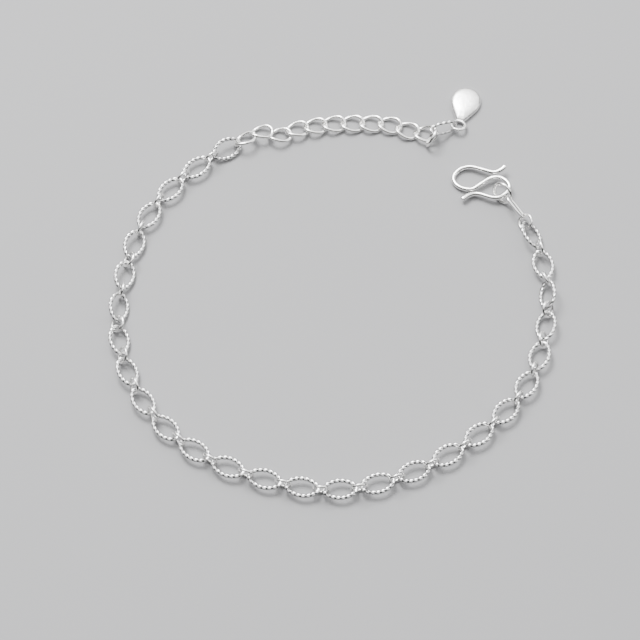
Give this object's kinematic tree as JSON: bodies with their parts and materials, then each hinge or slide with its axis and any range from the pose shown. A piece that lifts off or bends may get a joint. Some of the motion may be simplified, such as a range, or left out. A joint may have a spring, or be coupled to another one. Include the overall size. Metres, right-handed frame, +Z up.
{
  "type": "bracelet",
  "caption": "Fine silver chain bracelet of pointed twisted-wire links and small plain rings, with an S-shaped hook, a curb extender and a teardrop tag, lying open.",
  "frame": {"origin": "on the surface that the bracelet lies on, below the middle of its bounding box", "axes": "+Z up from the surface, +Y away from the viewer towards the extender and tag, +X to the right where the hook lies"},
  "size_m": [0.0678, 0.0742, 0.0035],
  "materials": {
    "twisted_silver": "bright polished silver wire, twisted square so that it sparkles in small facets",
    "plain_silver": "bright polished round silver wire with fine drawing marks",
    "satin_silver": "domed silver with a softly brushed satin face and polished rim, bare"
  },
  "bodies": {
    "root": {"marquise_link_01": "twisted_silver", "marquise_link_02": "twisted_silver", "marquise_link_03": "twisted_silver", "marquise_link_04": "twisted_silver", "marquise_link_05": "twisted_silver", "marquise_link_06": "twisted_silver", "marquise_link_07": "twisted_silver", "marquise_link_08": "twisted_silver", "marquise_link_09": "twisted_silver", "marquise_link_10": "twisted_silver", "marquise_link_11": "twisted_silver", "marquise_link_12": "twisted_silver", "marquise_link_13": "twisted_silver", "marquise_link_14": "twisted_silver", "marquise_link_15": "twisted_silver", "marquise_link_16": "twisted_silver", "marquise_link_17": "twisted_silver", "marquise_link_18": "twisted_silver", "marquise_link_19": "twisted_silver", "marquise_link_20": "twisted_silver", "marquise_link_21": "twisted_silver", "marquise_link_22": "twisted_silver", "marquise_link_23": "twisted_silver", "marquise_link_24": "twisted_silver", "marquise_link_25": "twisted_silver", "marquise_link_26": "twisted_silver", "marquise_link_27": "twisted_silver", "tag_link": "twisted_silver", "connecting_ring_01": "plain_silver", "connecting_ring_02": "plain_silver", "connecting_ring_03": "plain_silver", "connecting_ring_04": "plain_silver", "connecting_ring_05": "plain_silver", "connecting_ring_06": "plain_silver", "connecting_ring_07": "plain_silver", "connecting_ring_08": "plain_silver", "connecting_ring_09": "plain_silver", "connecting_ring_10": "plain_silver", "connecting_ring_11": "plain_silver", "connecting_ring_12": "plain_silver", "connecting_ring_13": "plain_silver", "connecting_ring_14": "plain_silver", "connecting_ring_15": "plain_silver", "connecting_ring_16": "plain_silver", "connecting_ring_17": "plain_silver", "connecting_ring_18": "plain_silver", "connecting_ring_19": "plain_silver", "connecting_ring_20": "plain_silver", "connecting_ring_21": "plain_silver", "connecting_ring_22": "plain_silver", "connecting_ring_23": "plain_silver", "connecting_ring_24": "plain_silver", "connecting_ring_25": "plain_silver", "connecting_ring_26": "plain_silver", "connecting_ring_27": "plain_silver", "extender_chain": "plain_silver", "hook": "plain_silver", "clasp_ring": "plain_silver", "long_link": "plain_silver", "drop": "satin_silver"}
  },
  "joints": []
}
